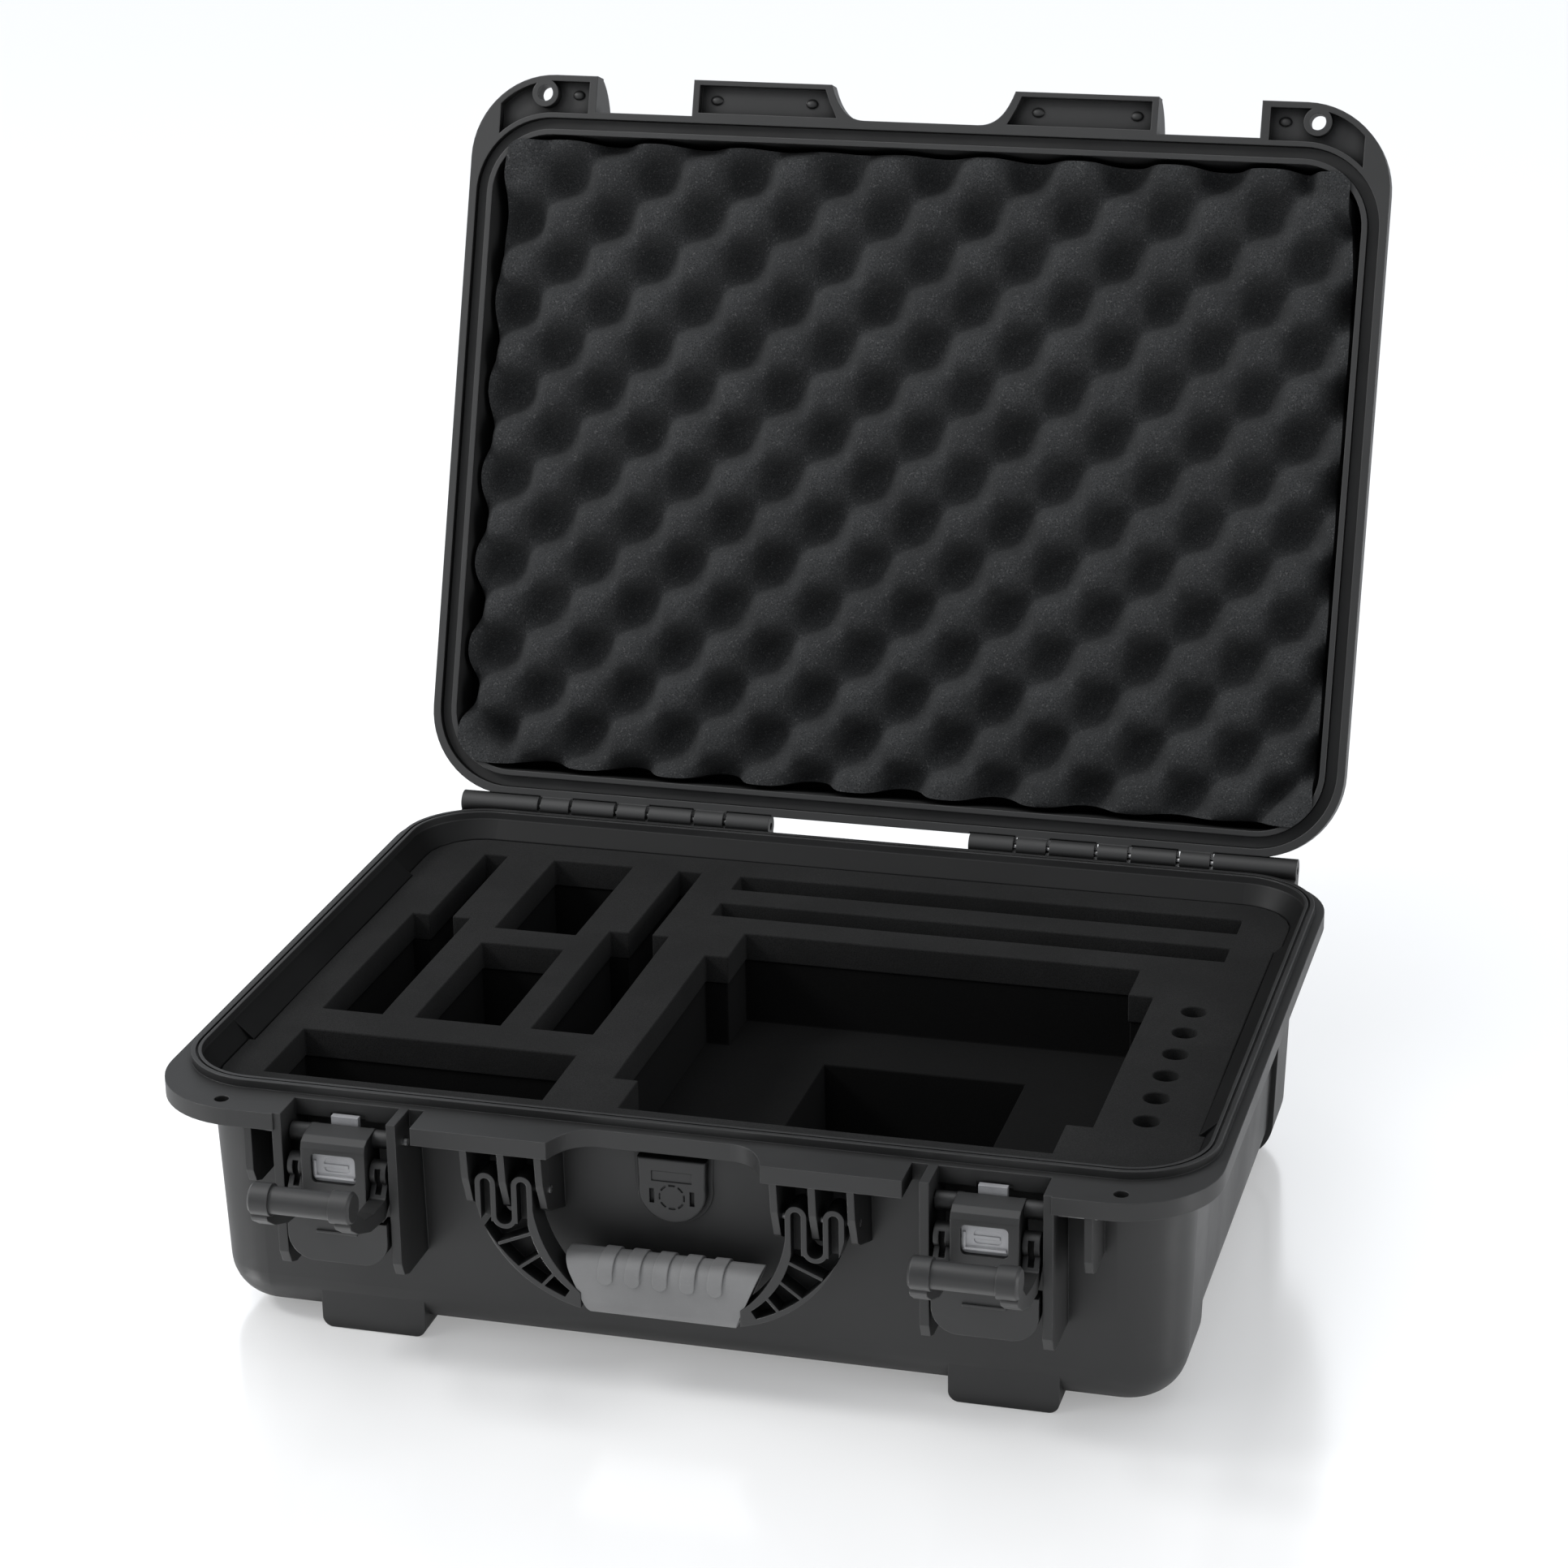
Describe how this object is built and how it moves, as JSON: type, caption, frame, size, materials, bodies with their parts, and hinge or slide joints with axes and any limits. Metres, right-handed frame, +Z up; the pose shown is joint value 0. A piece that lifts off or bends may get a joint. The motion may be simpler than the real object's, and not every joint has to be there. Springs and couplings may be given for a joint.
{
  "type": "drone carrying case",
  "caption": "Open hard-shell drone carrying case in black plastic, with cut foam in the base, wavy foam in the lid, claw latches and a folding handle.",
  "frame": {"origin": "on the floor plane, under the middle of the base", "axes": "+Z up, -Y towards the front with the handle and latches, +X to the right seen from the front; lid open at the back"},
  "size_m": [0.502, 0.61, 0.5091],
  "materials": {
    "shell_black": "satin",
    "foam_black": "matte",
    "lid_foam_black": "matte",
    "gasket_rubber": "matte",
    "grip_grey": "matte",
    "slide_silver": "satin",
    "steel_pin": "satin",
    "valve_grey": "satin"
  },
  "bodies": {
    "base": {"base_shell": "shell_black", "foam_top_layer": "foam_black", "foam_core": "foam_black", "foam_floor_pad": "foam_black", "valve_housing": "valve_grey", "valve_o_ring": "gasket_rubber", "valve_membrane": "gasket_rubber", "valve_nut": "valve_grey", "valve_cap": "shell_black", "latch_pin_left": "steel_pin", "hinge_pin_left": "steel_pin", "handle_pin_left": "steel_pin", "latch_pin_right": "steel_pin", "hinge_pin_right": "steel_pin", "handle_pin_right": "steel_pin"},
    "lid": {"lid_shell": "shell_black", "lid_gasket": "gasket_rubber", "lid_foam": "lid_foam_black"},
    "handle": {"handle_frame": "shell_black", "handle_grip": "grip_grey"},
    "lever_left": {"latch_lever_left": "shell_black", "claw_pin_left": "steel_pin"},
    "claw_left": {"latch_claw_left": "shell_black"},
    "slide_left": {"slide_lock_left": "slide_silver"},
    "lever_right": {"latch_lever_right": "shell_black", "claw_pin_right": "steel_pin"},
    "claw_right": {"latch_claw_right": "shell_black"},
    "slide_right": {"slide_lock_right": "slide_silver"}
  },
  "joints": [
    {"name": "lid_hinge", "type": "hinge", "parent": "base", "child": "lid", "pos_m": [0, 0.1927, 0.131], "axis": [-1, 0, 0], "range_deg": [-108.9, 0]},
    {"name": "handle_swing", "type": "hinge", "parent": "base", "child": "handle", "pos_m": [0, -0.192, 0.098], "axis": [-1, 0, 0], "range_deg": [0, 95]},
    {"name": "latch_lever_left_turn", "type": "hinge", "parent": "base", "child": "lever_left", "pos_m": [-0.1527, -0.193, 0.1145], "axis": [-1, 0, 0], "range_deg": [0, 80]},
    {"name": "latch_claw_left_turn", "type": "hinge", "parent": "lever_left", "child": "claw_left", "pos_m": [-0.1527, -0.193, 0.095], "axis": [1, 0, 0], "range_deg": [-85, 0]},
    {"name": "slide_lock_left_move", "type": "slide", "parent": "lever_left", "child": "slide_left", "axis": [0, 0, -1], "range_m": [-0.0025, 0]},
    {"name": "latch_lever_right_turn", "type": "hinge", "parent": "base", "child": "lever_right", "pos_m": [0.1527, -0.193, 0.1145], "axis": [-1, 0, 0], "range_deg": [0, 80]},
    {"name": "latch_claw_right_turn", "type": "hinge", "parent": "lever_right", "child": "claw_right", "pos_m": [0.1527, -0.193, 0.095], "axis": [1, 0, 0], "range_deg": [-85, 0]},
    {"name": "slide_lock_right_move", "type": "slide", "parent": "lever_right", "child": "slide_right", "axis": [0, 0, -1], "range_m": [-0.0025, 0]}
  ]
}
